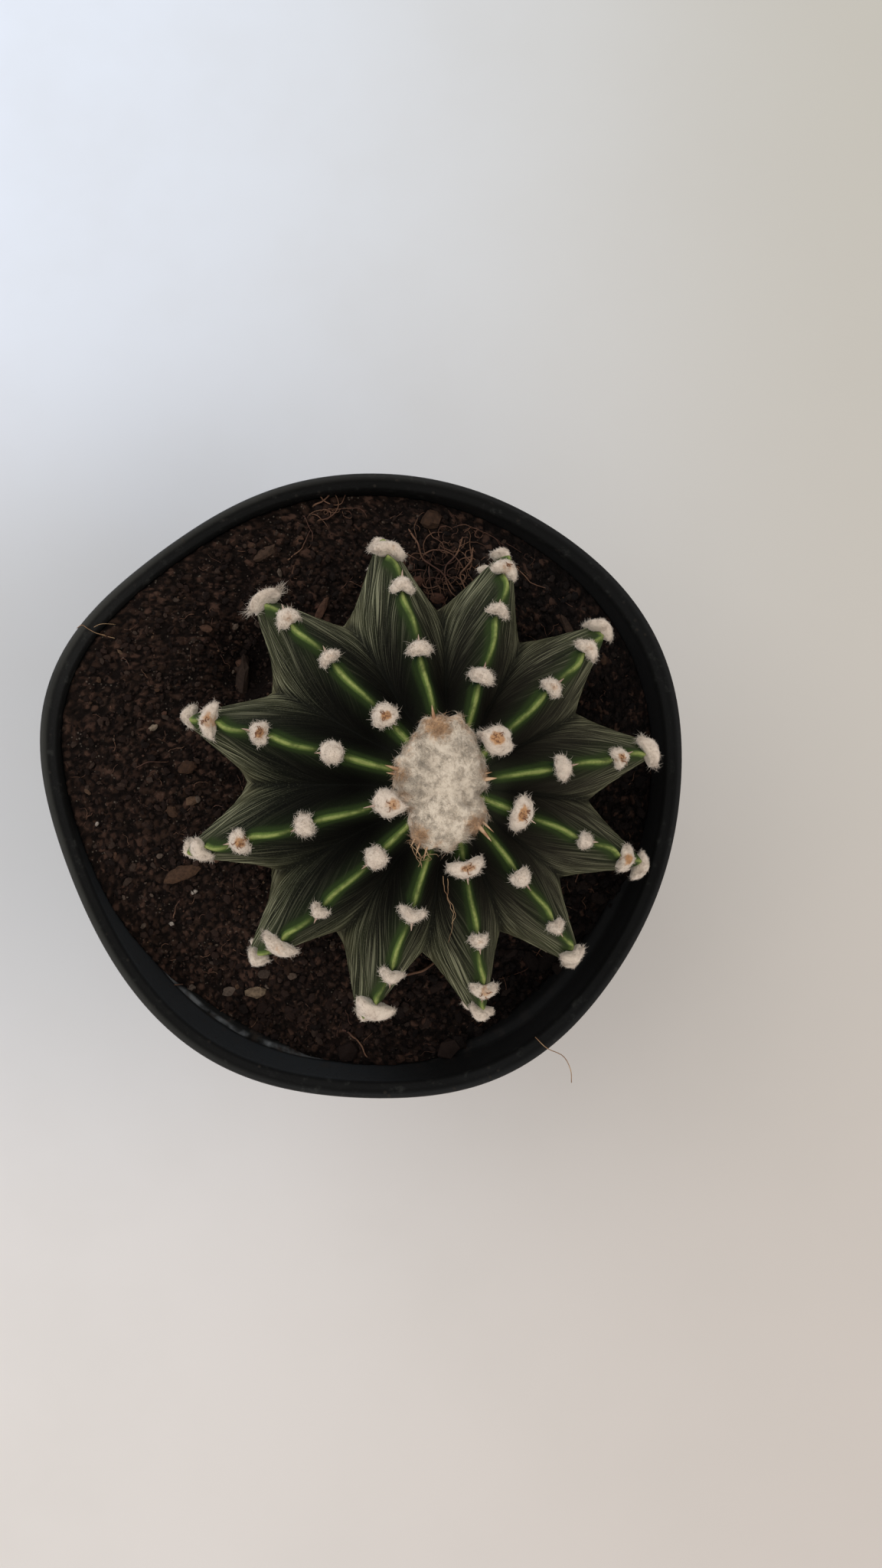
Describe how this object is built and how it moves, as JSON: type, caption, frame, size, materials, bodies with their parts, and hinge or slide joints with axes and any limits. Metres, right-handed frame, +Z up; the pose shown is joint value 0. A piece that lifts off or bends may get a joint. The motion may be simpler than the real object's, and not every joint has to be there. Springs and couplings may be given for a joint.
{
  "type": "potted chin cactus",
  "caption": "Young chin cactus with sharp ribs, woolly areoles and a felted crown, leaning in dark soil in a slightly squeezed round nursery pot.",
  "frame": {"origin": "middle of the whole part's box in X and Y, on the surface that the pot stands on", "axes": "+Z up; +Y towards the top of the picture, which looks straight down; the plant leans towards +X"},
  "size_m": [0.1218, 0.1189, 0.1339],
  "materials": {
    "pot": "satin",
    "soil": "matte",
    "cactus": "matte",
    "crown_wool": "matte"
  },
  "bodies": {
    "root": {"pot": "pot", "soil": "soil", "cactus": "cactus", "crown_wool": "crown_wool"}
  },
  "joints": []
}
